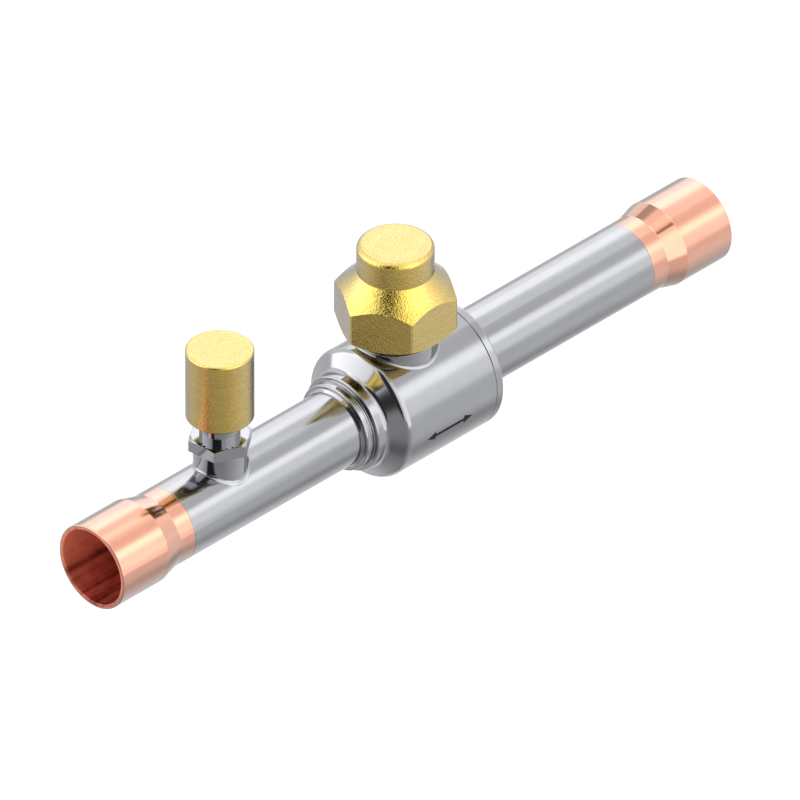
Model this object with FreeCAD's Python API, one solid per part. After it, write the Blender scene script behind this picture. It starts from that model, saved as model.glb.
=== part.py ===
import FreeCAD, Part
import math
import os

# Refrigerant service valve: a quarter-turn ball valve between two flared solder ends,
# with a hexagon seal cap over its stem and a capped access port on the inlet tube.
# The origin is the centre of the inlet socket's mouth. X runs along the pipe to the
# outlet and Z runs up along the stem. All sizes are in millimetres.

# Pipe run
tube_od = 16.0
tube_wall = 1.0
inlet_reach = 84.5
outlet_reach = 85.8
socket_gap = 0.1
socket_wall = 1.0
socket_depth = 12.6
flare_length = 4.3
copper_tail = 4.0
lap_length = 3.4
lap_wall = 0.5
mouth_round = 0.2
flare_outer_bend = 0.9
flare_inner_bend = 1.2

# Ball and seats
ball_d = 22.0
ball_bore_d = 12.0
slot_web = 2.2
slot_width = 3.2
seat_bore_step = 0.3
seat_width = 3.3
seat_land = 0.35
seat_inset = 0.6
seat_ring_section = 1.6
seat_ring_wall = 1.0

# Barrel, with lengths measured along the pipe from the stem axis
cavity_gap = 1.0
barrel_wall = 2.0
barrel_inlet_half = 10.5
barrel_outlet_half = 14.5
barrel_rim_drop = 0.82
barrel_rim_round = 1.7
seam_chamfer = 0.12

# End pieces
spigot_setback = 0.9
end_bore_step = 0.5
end_web = 1.0
face_depth = 1.85
face_foot_round = 1.4
hub_wall = 2.25
hub_length = 2.65
sleeve_wall = 1.3
sleeve_length = 2.1
sleeve_line_place = 0.74
line_width = 0.16
line_depth = 0.14
sleeve_fillet = 0.5
outlet_flange = 1.9
edge_round = 0.3

# Stem neck
neck_d = 17.0
neck_height = 0.7
neck_spigot_d = 14.0
stem_thread_d = 16.0
stem_thread_length = 10.3
thread_relief = 1.1
thread_depth = 0.9

# Stem
stem_d = 7.0
tang_thickness = 3.0
tang_width = 9.0
tang_gap = 0.2
collar_d = 10.4
collar_lift = 0.4
collar_height = 1.95
washer_thickness = 1.0
washer_bore_gap = 0.2
groove_width = 1.7
groove_depth = 1.2
lower_groove_height = 2.2
groove_spacing = 3.6
stop_pin_d = 1.8
stop_pin_drop = 1.0
stop_pin_reach = 5.6
stop_pin_tail = 3.2
stop_pin_end_gap = 0.4
stop_turn = 90.0
square_rise = 0.6
square_length = 5.9
square_size = 5.0
square_corner_d = 6.8
sight_slot_width = 0.8
sight_slot_depth = 0.6

# Seal cap
cap_across_flats = 22.0
cap_skirt_gap = 2.3
cap_hex_height = 7.8
cap_corner_trim = 0.15
cap_foot_rise = 1.0
cap_cone_height = 5.3
cap_cone_hollow = 0.25
cap_button_d = 15.6
cap_top_round = 1.1
cap_roof = 2.0
cap_stem_room = 2.5
cap_inner_d = 12.4
gasket_thickness = 1.0
gasket_width = 1.6

# Access port
port_offset = 48.9
port_base_d = 10.8
port_base_height = 3.9
port_spigot_d = 6.0
port_hex_flats = 11.6
port_hex_height = 2.7
port_hex_turn = 35.6
port_hex_chamfer = 0.35
port_relief_d = 8.2
port_relief_length = 4.9
port_thread_d = 11.11
port_thread_length = 10.1
port_nose_d = 9.4
port_nose_step = 0.6
port_nose_height = 1.4
port_tip_d = 6.6
port_passage_d = 4.2

# Valve core in the access port, with depths measured from the port's tip and the core's top
core_depth = 0.6
core_length = 10.6
core_thread_d = 5.24
core_thread_length = 5.8
core_barrel_d = 3.8
core_seal_gap = 0.2
core_seal_height = 1.6
core_bridge_height = 1.2
core_bridge_width = 2.4
core_chamber_d = 3.0
core_floor_thickness = 1.5
core_roof_thickness = 1.6
core_guide_gap = 0.1
core_port_d = 1.9
core_pin_d = 1.1
core_pin_rise = 0.3
core_collar_d = 2.6
core_collar_drop = 1.2
core_collar_height = 0.7
core_disc_d = 3.2
core_disc_thickness = 0.9
core_disc_seal = 1.0
core_pin_tail = 0.5
core_spring_wire_d = 0.36
core_spring_mean_d = 2.0
core_spring_turns = 7

# Access cap
access_cap_d = 13.7
access_cap_lap = 0.6
access_cap_roof = 1.7
access_cap_edge = 0.35
access_seal_thickness = 1.5
access_seal_bore_d = 5.0

# Clearances
running_gap = 0.05
ball_gap = 0.08
thread_gap = 0.07
axial_gap = 0.05
ring_gap = 0.03

# Sizes and places that follow
tube_r = tube_od / 2
tube_ir = tube_r - tube_wall
socket_r = tube_r + socket_gap
lap_r = tube_ir + lap_wall
copper_length = socket_depth + flare_length + copper_tail
ball_r = ball_d / 2
ball_bore_r = ball_bore_d / 2
slot_floor = ball_bore_r + slot_web
cavity_r = ball_r + cavity_gap
barrel_r = cavity_r + barrel_wall
seat_bore_r = ball_bore_r + seat_bore_step
seat_r = seat_bore_r + seat_width
seat_front = math.sqrt(ball_r**2 - seat_r**2) + seat_land
pocket_r = seat_r + running_gap
pocket_floor = ball_r - seat_inset
pocket_mouth = math.sqrt(ball_r**2 - pocket_r**2) + spigot_setback
end_bore_r = ball_bore_r + end_bore_step
ring_groove_r = end_bore_r + seat_ring_wall
ring_groove_floor = pocket_floor + seat_ring_section
tube_stop = ring_groove_floor + end_web
hub_r = tube_r + hub_wall
hub_start = barrel_inlet_half + face_depth
rim_r = barrel_r - barrel_rim_drop
rim_corner = barrel_inlet_half - barrel_rim_drop * face_depth / (rim_r - hub_r)
hub_end = hub_start + hub_length
sleeve_end = hub_end + sleeve_length
sleeve_line = hub_end + sleeve_line_place
stem_x = inlet_reach
neck_r = neck_d / 2
neck_shoulder = barrel_r + neck_height
neck_top = neck_shoulder + stem_thread_length
stem_thread_r = stem_thread_d / 2
stem_r = stem_d / 2
stem_bore_r = stem_r + running_gap
collar_bottom = ball_r + collar_lift
collar_top = collar_bottom + collar_height
collar_bore_r = collar_d / 2 + running_gap
washer_bottom = collar_top + axial_gap
washer_top = washer_bottom + washer_thickness
lower_groove_z = washer_top + lower_groove_height
upper_groove_z = lower_groove_z + groove_spacing
stop_pin_r = stop_pin_d / 2
stop_pin_z = neck_top - stop_pin_drop
stop_pocket_r = stop_pin_reach + stop_pin_end_gap
stop_pocket_floor = stop_pin_z - stop_pin_r - thread_gap
square_bottom = neck_top + square_rise
stem_top = square_bottom + square_length
cap_bottom = neck_shoulder + cap_skirt_gap
cap_corner_r = cap_across_flats / math.sqrt(3) - cap_corner_trim
cap_corner_top = cap_bottom + cap_hex_height
cap_cone_top = cap_corner_top + cap_cone_height
cap_gasket_top = neck_top + gasket_thickness
cap_roof_bottom = stem_top + cap_stem_room
cap_top = cap_roof_bottom + cap_roof
port_x = inlet_reach - port_offset
port_hex_bottom = tube_r + port_base_height
port_hex_top = port_hex_bottom + port_hex_height
port_thread_start = port_hex_top + port_relief_length
port_thread_end = port_thread_start + port_thread_length
port_nose_start = port_thread_end + port_nose_step
port_tip = port_nose_start + port_nose_height
port_relief_r = port_relief_d / 2
port_thread_r = port_thread_d / 2
port_bore_r = core_thread_d / 2 + running_gap
core_top = port_tip - core_depth
core_bottom = core_top - core_length
core_thread_bottom = core_top - core_thread_length
core_seat_top = core_thread_bottom - core_seal_gap
core_seat_bottom = core_seat_top - core_seal_height
core_bridge_bottom = core_top - core_bridge_height
core_chamber_floor = core_bottom + core_floor_thickness
core_chamber_roof = core_top - core_roof_thickness
core_collar_bottom = core_chamber_roof - core_collar_drop
core_disc_top = core_bottom - core_disc_seal
core_disc_bottom = core_disc_top - core_disc_thickness
access_seal_top = port_tip + access_seal_thickness
access_cap_bottom = port_thread_start - access_cap_lap
access_cap_top = access_seal_top + access_cap_roof

origin = FreeCAD.Vector(0, 0, 0)
x_axis = FreeCAD.Vector(1, 0, 0)
z_axis = FreeCAD.Vector(0, 0, 1)
touching = 1e-6


def outline_face(corners, place):
    """Flat face inside (a, b) corners; a third value rounds its corner with that radius."""
    turns = []
    for i, corner in enumerate(corners):
        here = place(corner[0], corner[1])
        if len(corner) == 2:
            turns.append([here])
            continue
        before = place(*corners[i - 1][:2])
        after = place(*corners[(i + 1) % len(corners)][:2])
        back = (before - here).normalize()
        ahead = (after - here).normalize()
        half = back.getAngle(ahead) / 2
        run = corner[2] / math.tan(half)
        inward = (back + ahead).normalize()
        middle = here + inward * (corner[2] / math.sin(half) - corner[2])
        turns.append([here + back * run, middle, here + ahead * run])
    edges = []
    for i, turn in enumerate(turns):
        if turns[i - 1][-1].distanceToPoint(turn[0]) > touching:
            edges.append(Part.LineSegment(turns[i - 1][-1], turn[0]).toShape())
        if len(turn) == 3:
            edges.append(Part.Arc(*turn).toShape())
    return Part.Face(Part.Wire(edges))


def turned_on_pipe(corners):
    """Ring or solid turned about the pipe axis from (distance past the stem, radius) corners."""
    face = outline_face(corners, lambda a, r: FreeCAD.Vector(stem_x + a, 0, r))
    return face.revolve(origin, x_axis, 360)


def turned_upright(x, corners):
    """Ring or solid turned about an upright axis at x from (radius, height) corners."""
    face = outline_face(corners, lambda r, z: FreeCAD.Vector(x + r, 0, z))
    return face.revolve(FreeCAD.Vector(x, 0, 0), z_axis, 360)


def to_inlet_side(shape):
    """The same shape on the inlet side of the stem axis."""
    return shape.mirror(FreeCAD.Vector(stem_x, 0, 0), x_axis)


def rod_on_pipe(radius, start, end):
    base = FreeCAD.Vector(stem_x + start, 0, 0)
    return Part.makeCylinder(radius, end - start, base, x_axis)


def upright_rod(x, radius, bottom, top):
    return Part.makeCylinder(radius, top - bottom, FreeCAD.Vector(x, 0, bottom), z_axis)


def upright_hexagon(x, across_flats, turn, bottom, top):
    """Hexagonal prism with its first corner turned from +X by the given angle."""
    corner_r = across_flats / math.sqrt(3)
    points = []
    for i in range(7):
        angle = math.radians(turn + 60 * i)
        offset = FreeCAD.Vector(corner_r * math.cos(angle), corner_r * math.sin(angle), bottom)
        points.append(offset + FreeCAD.Vector(x, 0, 0))
    return Part.Face(Part.makePolygon(points)).extrude(z_axis * (top - bottom))


def upright_washer(x, inner_r, outer_r, bottom, top):
    return upright_rod(x, outer_r, bottom, top).cut(upright_rod(x, inner_r, bottom, top))


def copper_socket(reach):
    """Flared solder end: socket, cone and a tail lapped over the steel tube's spigot."""
    cone_start = reach - socket_depth
    cone_end = cone_start - flare_length
    tail = reach - copper_length
    return turned_on_pipe([
        (tail, lap_r),
        (tail, tube_r),
        (cone_end, tube_r, flare_inner_bend),
        (cone_start, socket_r + socket_wall, flare_outer_bend),
        (reach, socket_r + socket_wall, mouth_round),
        (reach, socket_r),
        (cone_start, socket_r),
        (cone_end, tube_ir),
        (tail + lap_length, tube_ir),
        (tail + lap_length, lap_r),
    ])


def steel_tube(reach):
    """Plain tube from the end piece's stop to a turned-down spigot in the copper end."""
    tail = reach - copper_length
    return turned_on_pipe([
        (tube_stop, tube_ir),
        (tube_stop, tube_r),
        (tail, tube_r),
        (tail, lap_r),
        (tail + lap_length, lap_r),
        (tail + lap_length, tube_ir),
    ])


def inlet_tube():
    port_hole = upright_rod(port_x, port_spigot_d / 2, 0, tube_od)
    return to_inlet_side(steel_tube(inlet_reach)).cut(port_hole)


def end_piece_inside(end):
    """Corners of an end piece's inner wall: seat pocket, ring groove, bore and tube socket."""
    groove_outer_r = ring_groove_r + seat_ring_section
    return [
        (pocket_mouth, pocket_r),
        (pocket_floor, pocket_r),
        (pocket_floor, groove_outer_r),
        (ring_groove_floor, groove_outer_r),
        (ring_groove_floor, ring_groove_r),
        (pocket_floor, ring_groove_r),
        (pocket_floor, end_bore_r),
        (tube_stop, end_bore_r),
        (tube_stop, tube_r),
        (end, tube_r),
    ]


def inlet_end_piece():
    """Turned end with a steep conical face, a hub, and a lined sleeve over the tube."""
    end = sleeve_end + sleeve_fillet
    sleeve_r = tube_r + sleeve_wall
    outside = [
        (sleeve_end, tube_r + sleeve_fillet, sleeve_fillet),
        (sleeve_end, sleeve_r, edge_round),
        (sleeve_line + line_width, sleeve_r),
        (sleeve_line + line_width / 2, sleeve_r - line_depth),
        (sleeve_line, sleeve_r),
        (hub_end, sleeve_r),
        (hub_end, hub_r, edge_round),
        (hub_start, hub_r, face_foot_round),
        (barrel_inlet_half, rim_r),
        (barrel_inlet_half, cavity_r),
        (pocket_mouth, cavity_r),
    ]
    return to_inlet_side(turned_on_pipe(end_piece_inside(end) + outside))


def outlet_end_piece():
    """Turned plug with a flange of the barrel's own diameter."""
    end = barrel_outlet_half + outlet_flange
    outside = [
        (end, barrel_r, edge_round),
        (barrel_outlet_half + seam_chamfer, barrel_r),
        (barrel_outlet_half, barrel_r - seam_chamfer),
        (barrel_outlet_half, cavity_r),
        (pocket_mouth, cavity_r),
    ]
    return turned_on_pipe(end_piece_inside(end) + outside)


def valve_barrel():
    """Tube round the ball, its inlet rim rounded into the end face, with a hole for the neck."""
    inlet_rim = -barrel_inlet_half
    wall = turned_on_pipe([
        (inlet_rim, cavity_r),
        (inlet_rim, rim_r),
        (-rim_corner, barrel_r, barrel_rim_round),
        (barrel_outlet_half - seam_chamfer, barrel_r),
        (barrel_outlet_half, barrel_r - seam_chamfer),
        (barrel_outlet_half, cavity_r),
    ])
    return wall.cut(upright_rod(stem_x, neck_spigot_d / 2, 0, 2 * barrel_r))


def stop_pocket():
    """Quarter-turn recess in the neck's top that the stop pin swings in."""
    radius = stop_pocket_r
    half_width = stop_pin_r + thread_gap
    height = neck_top - stop_pocket_floor
    base = FreeCAD.Vector(stem_x, 0, stop_pocket_floor)
    sweep = Part.makeCylinder(radius, height, base, z_axis, stop_turn)
    sweep.rotate(base, z_axis, 180 - stop_turn)
    recess = upright_rod(stem_x, stem_bore_r, stop_pocket_floor, neck_top).fuse(sweep)
    round_end = upright_rod(stem_x, radius, stop_pocket_floor, neck_top)
    for turn in (180 - stop_turn, 180):
        lane = Part.makeBox(radius, 2 * half_width, height, base - FreeCAD.Vector(0, half_width, 0))
        lane.rotate(base, z_axis, turn)
        recess = recess.fuse(lane.common(round_end))
    return recess.removeSplitter()


def stem_neck():
    """Neck welded on the barrel: spigot, shoulder, cap thread, stem bore and stop recess."""
    solid_barrel = rod_on_pipe(barrel_r, -barrel_r, barrel_r)
    cavity = rod_on_pipe(cavity_r, -barrel_r, barrel_r)
    body = upright_rod(stem_x, neck_r, 0, neck_shoulder).cut(solid_barrel)
    spigot = upright_rod(stem_x, neck_spigot_d / 2, 0, neck_shoulder).cut(cavity)
    relief_r = stem_thread_r - thread_depth / 2
    threaded = turned_upright(stem_x, [
        (0, neck_shoulder),
        (relief_r, neck_shoulder),
        (relief_r, neck_shoulder + thread_relief),
        (stem_thread_r, neck_shoulder + thread_relief + thread_depth / 2),
        (stem_thread_r, neck_top - thread_depth / 2),
        (stem_thread_r - thread_depth / 2, neck_top),
        (0, neck_top),
    ])
    stem_way = upright_rod(stem_x, stem_bore_r, 0, neck_top)
    collar_way = upright_rod(stem_x, collar_bore_r, 0, washer_top)
    solid = body.fuse([spigot, threaded]).removeSplitter()
    return solid.cut(stem_way.fuse(collar_way)).cut(stop_pocket())


def ball():
    """Ball with a full bore and a slot across its top for the stem's tang."""
    sphere = Part.makeSphere(ball_r, FreeCAD.Vector(stem_x, 0, 0))
    corner = FreeCAD.Vector(stem_x - slot_width / 2, -ball_r, slot_floor)
    slot = Part.makeBox(slot_width, ball_d, ball_r, corner)
    return sphere.cut(rod_on_pipe(ball_bore_r, -ball_r, ball_r)).cut(slot)


def outlet_seat():
    """Seat ring with a spherical face that follows the ball."""
    ring = turned_on_pipe([
        (seat_front, seat_bore_r),
        (seat_front, seat_r),
        (pocket_floor, seat_r, edge_round),
        (pocket_floor, seat_bore_r),
    ])
    return ring.cut(Part.makeSphere(ball_r + ball_gap, FreeCAD.Vector(stem_x, 0, 0)))


def outlet_seat_ring():
    section_r = seat_ring_section / 2
    centre = FreeCAD.Vector(stem_x + pocket_floor + section_r, 0, 0)
    return Part.makeTorus(ring_groove_r + section_r, section_r - ring_gap, centre, x_axis)


def stem():
    """Stem with tang, thrust collar, two ring grooves, pin hole and a square with a sight slot."""
    groove_r = stem_r - groove_depth
    turned = turned_upright(stem_x, [
        (0, collar_bottom),
        (collar_d / 2, collar_bottom),
        (collar_d / 2, collar_top),
        (stem_r, collar_top),
        (stem_r, lower_groove_z - groove_width / 2),
        (groove_r, lower_groove_z - groove_width / 2),
        (groove_r, lower_groove_z + groove_width / 2),
        (stem_r, lower_groove_z + groove_width / 2),
        (stem_r, upper_groove_z - groove_width / 2),
        (groove_r, upper_groove_z - groove_width / 2),
        (groove_r, upper_groove_z + groove_width / 2),
        (stem_r, upper_groove_z + groove_width / 2),
        (stem_r, square_bottom),
        (0, square_bottom),
    ])
    tang_bottom = slot_floor + tang_gap
    corner = FreeCAD.Vector(stem_x - tang_thickness / 2, -tang_width / 2, tang_bottom)
    tang = Part.makeBox(tang_thickness, tang_width, collar_bottom - tang_bottom, corner)
    half = square_size / 2
    corner = FreeCAD.Vector(stem_x - half, -half, square_bottom)
    square = Part.makeBox(square_size, square_size, stem_top - square_bottom, corner)
    square = square.common(turned_upright(stem_x, [
        (0, square_bottom),
        (square_corner_d / 2, square_bottom),
        (square_corner_d / 2, stem_top, edge_round),
        (0, stem_top),
    ]))
    corner = FreeCAD.Vector(stem_x - half, -sight_slot_width / 2, stem_top - sight_slot_depth)
    sight_slot = Part.makeBox(square_size, sight_slot_width, sight_slot_depth, corner)
    whole = turned.fuse([tang, square.cut(sight_slot)]).removeSplitter()
    return whole.cut(stop_pin())


def stop_pin():
    start = FreeCAD.Vector(stem_x + stop_pin_tail, 0, stop_pin_z)
    return Part.makeCylinder(stop_pin_r, stop_pin_tail + stop_pin_reach, start, -x_axis)


def stem_ring(z):
    """Round sealing ring that fills a stem groove out to the neck's bore."""
    section_r = groove_depth / 2
    centre = FreeCAD.Vector(stem_x, 0, z)
    return Part.makeTorus(stem_r - section_r, section_r, centre, z_axis)


def thrust_washer():
    return upright_washer(stem_x, stem_r + washer_bore_gap, collar_d / 2, washer_bottom, washer_top)


def seal_cap():
    """Hexagon cap with a trimmed foot, a hollow cone, a round button and a stepped bore."""
    rise = cap_cone_top - cap_corner_top
    fall = cap_corner_r - cap_button_d / 2
    slope = math.hypot(rise, fall)
    middle = FreeCAD.Vector(
        stem_x + cap_corner_r - fall / 2 - cap_cone_hollow * rise / slope,
        0,
        cap_corner_top + rise / 2 - cap_cone_hollow * fall / slope,
    )
    low = FreeCAD.Vector(stem_x + cap_corner_r, 0, cap_corner_top)
    high = FreeCAD.Vector(stem_x + cap_button_d / 2, 0, cap_cone_top)
    corners = [
        high,
        FreeCAD.Vector(stem_x, 0, cap_cone_top),
        FreeCAD.Vector(stem_x, 0, cap_bottom),
        FreeCAD.Vector(stem_x + cap_across_flats / 2, 0, cap_bottom),
        FreeCAD.Vector(stem_x + cap_corner_r, 0, cap_bottom + cap_foot_rise),
        low,
    ]
    edges = [Part.LineSegment(a, b).toShape() for a, b in zip(corners, corners[1:])]
    edges.append(Part.Arc(low, middle, high).toShape())
    blank = Part.Face(Part.Wire(edges)).revolve(FreeCAD.Vector(stem_x, 0, 0), z_axis, 360)
    hexagon = upright_hexagon(stem_x, cap_across_flats, 0, cap_bottom, cap_cone_top)
    button = turned_upright(stem_x, [
        (0, cap_gasket_top),
        (cap_button_d / 2, cap_gasket_top),
        (cap_button_d / 2, cap_top, cap_top_round),
        (0, cap_top),
    ])
    thread_r = stem_thread_r + thread_gap
    inside = turned_upright(stem_x, [
        (0, cap_bottom),
        (thread_r + thread_depth / 2, cap_bottom),
        (thread_r, cap_bottom + thread_depth / 2),
        (thread_r, cap_gasket_top),
        (cap_inner_d / 2, cap_gasket_top),
        (cap_inner_d / 2, cap_roof_bottom, edge_round),
        (0, cap_roof_bottom),
    ])
    return blank.common(hexagon).fuse(button).removeSplitter().cut(inside)


def seal_cap_gasket():
    outer_r = stem_thread_r - thread_gap
    return upright_washer(stem_x, outer_r - gasket_width, outer_r, neck_top, cap_gasket_top)


def access_port():
    """Port brazed on the inlet tube: foot, hexagon, cap thread, flare nose and core seat."""
    solid_tube = rod_on_pipe(tube_r, -inlet_reach, 0)
    flow_way = rod_on_pipe(tube_ir, -inlet_reach, 0)
    foot = upright_rod(port_x, port_base_d / 2, 0, port_hex_bottom).cut(solid_tube)
    spigot = upright_rod(port_x, port_spigot_d / 2, 0, port_hex_bottom).cut(flow_way)
    corner_r = port_hex_flats / math.sqrt(3)
    hexagon = upright_hexagon(port_x, port_hex_flats, port_hex_turn, port_hex_bottom, port_hex_top)
    hexagon = hexagon.common(turned_upright(port_x, [
        (0, port_hex_bottom),
        (corner_r, port_hex_bottom),
        (corner_r, port_hex_top - port_hex_chamfer),
        (port_hex_flats / 2, port_hex_top),
        (0, port_hex_top),
    ]))
    upper = turned_upright(port_x, [
        (0, port_hex_top),
        (port_relief_r, port_hex_top),
        (port_relief_r, port_thread_start),
        (port_thread_r, port_thread_start + port_thread_r - port_relief_r),
        (port_thread_r, port_thread_end - port_thread_r + port_nose_d / 2),
        (port_nose_d / 2, port_thread_end),
        (port_nose_d / 2, port_nose_start),
        (port_tip_d / 2, port_tip),
        (0, port_tip),
    ])
    way = turned_upright(port_x, [
        (0, 0),
        (port_passage_d / 2, 0),
        (port_passage_d / 2, core_seat_bottom),
        (port_bore_r, core_seat_top),
        (port_bore_r, port_tip),
        (0, port_tip),
    ])
    return foot.fuse([spigot, hexagon, upper]).removeSplitter().cut(way)


def valve_core_body():
    """Threaded core with a tool bridge on top, a spring chamber and a lower seat."""
    outside = turned_upright(port_x, [
        (0, core_bottom),
        (core_barrel_d / 2, core_bottom),
        (core_barrel_d / 2, core_thread_bottom),
        (core_thread_d / 2, core_thread_bottom),
        (core_thread_d / 2, core_top),
        (0, core_top),
    ])
    depth = core_top - core_bridge_bottom
    corner = FreeCAD.Vector(port_x - core_thread_d, -core_bridge_width / 2, core_bridge_bottom)
    bridge = Part.makeBox(2 * core_thread_d, core_bridge_width, depth, corner)
    sides = upright_rod(port_x, core_thread_d, core_bridge_bottom, core_top).cut(bridge)
    inside = turned_upright(port_x, [
        (0, core_bottom),
        (core_port_d / 2, core_bottom),
        (core_port_d / 2, core_chamber_floor),
        (core_chamber_d / 2, core_chamber_floor),
        (core_chamber_d / 2, core_chamber_roof),
        (core_pin_d / 2 + core_guide_gap, core_chamber_roof),
        (core_pin_d / 2 + core_guide_gap, core_top),
        (0, core_top),
    ])
    return outside.cut(sides).cut(inside)


def valve_core_seal():
    """Tapered ring on the core's barrel that seats in the port's cone."""
    return turned_upright(port_x, [
        (core_barrel_d / 2, core_seat_bottom),
        (port_passage_d / 2 - running_gap, core_seat_bottom),
        (port_bore_r - running_gap, core_seat_top),
        (core_barrel_d / 2, core_seat_top),
    ])


def valve_core_pin():
    """Spring-loaded pin with a spring collar and a sealing disc at its lower end."""
    pin_r = core_pin_d / 2
    pin_top = core_top + core_pin_rise
    return turned_upright(port_x, [
        (0, core_disc_bottom - core_pin_tail),
        (pin_r, core_disc_bottom - core_pin_tail),
        (pin_r, core_disc_bottom),
        (core_disc_d / 2, core_disc_bottom),
        (core_disc_d / 2, core_disc_top),
        (pin_r, core_disc_top),
        (pin_r, core_collar_bottom),
        (core_collar_d / 2, core_collar_bottom),
        (core_collar_d / 2, core_collar_bottom + core_collar_height),
        (pin_r, core_collar_bottom + core_collar_height),
        (pin_r, pin_top, pin_r / 2),
        (0, pin_top),
    ])


def valve_core_pin_seal():
    return upright_washer(port_x, core_pin_d / 2, core_disc_d / 2, core_disc_top, core_bottom)


def valve_core_spring():
    """Helical spring between the chamber's floor and the pin's collar."""
    wire_r = core_spring_wire_d / 2
    coil_r = core_spring_mean_d / 2
    height = core_collar_bottom - core_chamber_floor - core_spring_wire_d
    helix = Part.makeHelix(height / core_spring_turns, height, coil_r)
    start = FreeCAD.Vector(coil_r, 0, 0)
    section = Part.Wire(Part.Circle(start, FreeCAD.Vector(0, 1, 0), wire_r).toShape())
    coil = Part.Wire(helix.Edges).makePipeShell([section], True, True)
    coil.translate(FreeCAD.Vector(port_x, 0, core_chamber_floor + wire_r))
    return coil


def access_cap():
    """Plain round cap with a small chamfer below and a rounded top edge."""
    outer_r = access_cap_d / 2
    thread_r = port_thread_r + thread_gap
    return turned_upright(port_x, [
        (thread_r + access_cap_edge, access_cap_bottom),
        (outer_r - access_cap_edge, access_cap_bottom),
        (outer_r, access_cap_bottom + access_cap_edge),
        (outer_r, access_cap_top, access_cap_edge),
        (0, access_cap_top),
        (0, access_seal_top),
        (thread_r, access_seal_top),
        (thread_r, access_cap_bottom + access_cap_edge),
    ])


def access_cap_seal():
    inner_r = access_seal_bore_d / 2
    return upright_washer(port_x, inner_r, port_thread_r - thread_gap, port_tip, access_seal_top)


pieces = {
    "inlet_copper_socket": to_inlet_side(copper_socket(inlet_reach)),
    "outlet_copper_socket": copper_socket(outlet_reach),
    "inlet_tube": inlet_tube(),
    "outlet_tube": steel_tube(outlet_reach),
    "inlet_end_piece": inlet_end_piece(),
    "outlet_end_piece": outlet_end_piece(),
    "valve_barrel": valve_barrel(),
    "stem_neck": stem_neck(),
    "ball": ball(),
    "inlet_seat": to_inlet_side(outlet_seat()),
    "outlet_seat": outlet_seat(),
    "inlet_seat_ring": to_inlet_side(outlet_seat_ring()),
    "outlet_seat_ring": outlet_seat_ring(),
    "stem": stem(),
    "stem_stop_pin": stop_pin(),
    "lower_stem_ring": stem_ring(lower_groove_z),
    "upper_stem_ring": stem_ring(upper_groove_z),
    "stem_thrust_washer": thrust_washer(),
    "seal_cap": seal_cap(),
    "seal_cap_gasket": seal_cap_gasket(),
    "access_port": access_port(),
    "valve_core_body": valve_core_body(),
    "valve_core_seal": valve_core_seal(),
    "valve_core_pin": valve_core_pin(),
    "valve_core_pin_seal": valve_core_pin_seal(),
    "valve_core_spring": valve_core_spring(),
    "access_cap": access_cap(),
    "access_cap_seal": access_cap_seal(),
}

os.makedirs("parts", exist_ok=True)
for name, shape in pieces.items():
    shape.exportStep(f"parts/{name}.step")
    print(f"{name}: {len(shape.Solids)} solid, {shape.Volume:.1f} mm3, valid {shape.isValid()}")
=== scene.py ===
import math

import bpy
import numpy as np
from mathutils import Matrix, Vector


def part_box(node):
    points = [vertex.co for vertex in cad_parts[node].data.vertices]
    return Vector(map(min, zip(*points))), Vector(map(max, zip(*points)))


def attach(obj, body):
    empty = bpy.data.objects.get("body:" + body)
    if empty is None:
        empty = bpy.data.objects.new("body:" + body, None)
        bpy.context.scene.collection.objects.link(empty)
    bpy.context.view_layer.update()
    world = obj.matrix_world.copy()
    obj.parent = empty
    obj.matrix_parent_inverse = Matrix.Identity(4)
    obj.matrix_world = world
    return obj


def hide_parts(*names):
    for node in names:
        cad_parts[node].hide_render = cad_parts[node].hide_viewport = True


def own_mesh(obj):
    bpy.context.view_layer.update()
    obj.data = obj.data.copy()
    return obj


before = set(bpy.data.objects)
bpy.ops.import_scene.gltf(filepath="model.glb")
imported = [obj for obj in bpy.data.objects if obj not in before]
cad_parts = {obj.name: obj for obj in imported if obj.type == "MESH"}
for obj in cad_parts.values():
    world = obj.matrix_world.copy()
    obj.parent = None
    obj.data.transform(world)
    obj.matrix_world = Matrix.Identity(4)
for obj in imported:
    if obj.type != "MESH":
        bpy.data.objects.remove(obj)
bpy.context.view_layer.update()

# Refrigerant service valve: plated steel tubes and body, copper solder ends, two brass caps.
# Sizes are in millimetres, in the model's own frame, and skin() turns them into metres.
mm = 0.001


def box(node):
    """Lowest and highest corner of a node of the model, in millimetres."""
    low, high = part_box(node)
    return np.array(low) / mm, np.array(high) / mm


# Places read from the model
barrel_low, barrel_high = box("valve_barrel")
cap_low, cap_high = box("seal_cap")
access_low, access_high = box("access_cap")
core_seal_low, core_seal_high = box("valve_core_seal")
spring_low, spring_high = box("valve_core_spring")
inlet_mouth = box("inlet_copper_socket")[0][0]
outlet_mouth = box("outlet_copper_socket")[1][0]
inlet_sleeve_tip = box("inlet_end_piece")[0][0]
outlet_flange_face = box("outlet_end_piece")[1][0]
neck_top = box("stem_neck")[1][2]
port_top = box("access_port")[1][2]
gasket_top = box("seal_cap_gasket")[1][2]
port_seal_top = box("access_cap_seal")[1][2]
thrust_washer_top = box("stem_thrust_washer")[1][2]
stop_pin_bottom = box("stem_stop_pin")[0][2]

stem_x = (cap_low[0] + cap_high[0]) / 2
port_x = (access_low[0] + access_high[0]) / 2
tube_r = box("outlet_tube")[1][1]
socket_r = box("outlet_copper_socket")[1][1]
seat_r = box("outlet_seat")[1][1]
barrel_r = barrel_high[1]

# Columns round each kind of piece
tube_columns = 256
body_columns = 320
neck_columns = 288
cap_columns = 360

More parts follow.
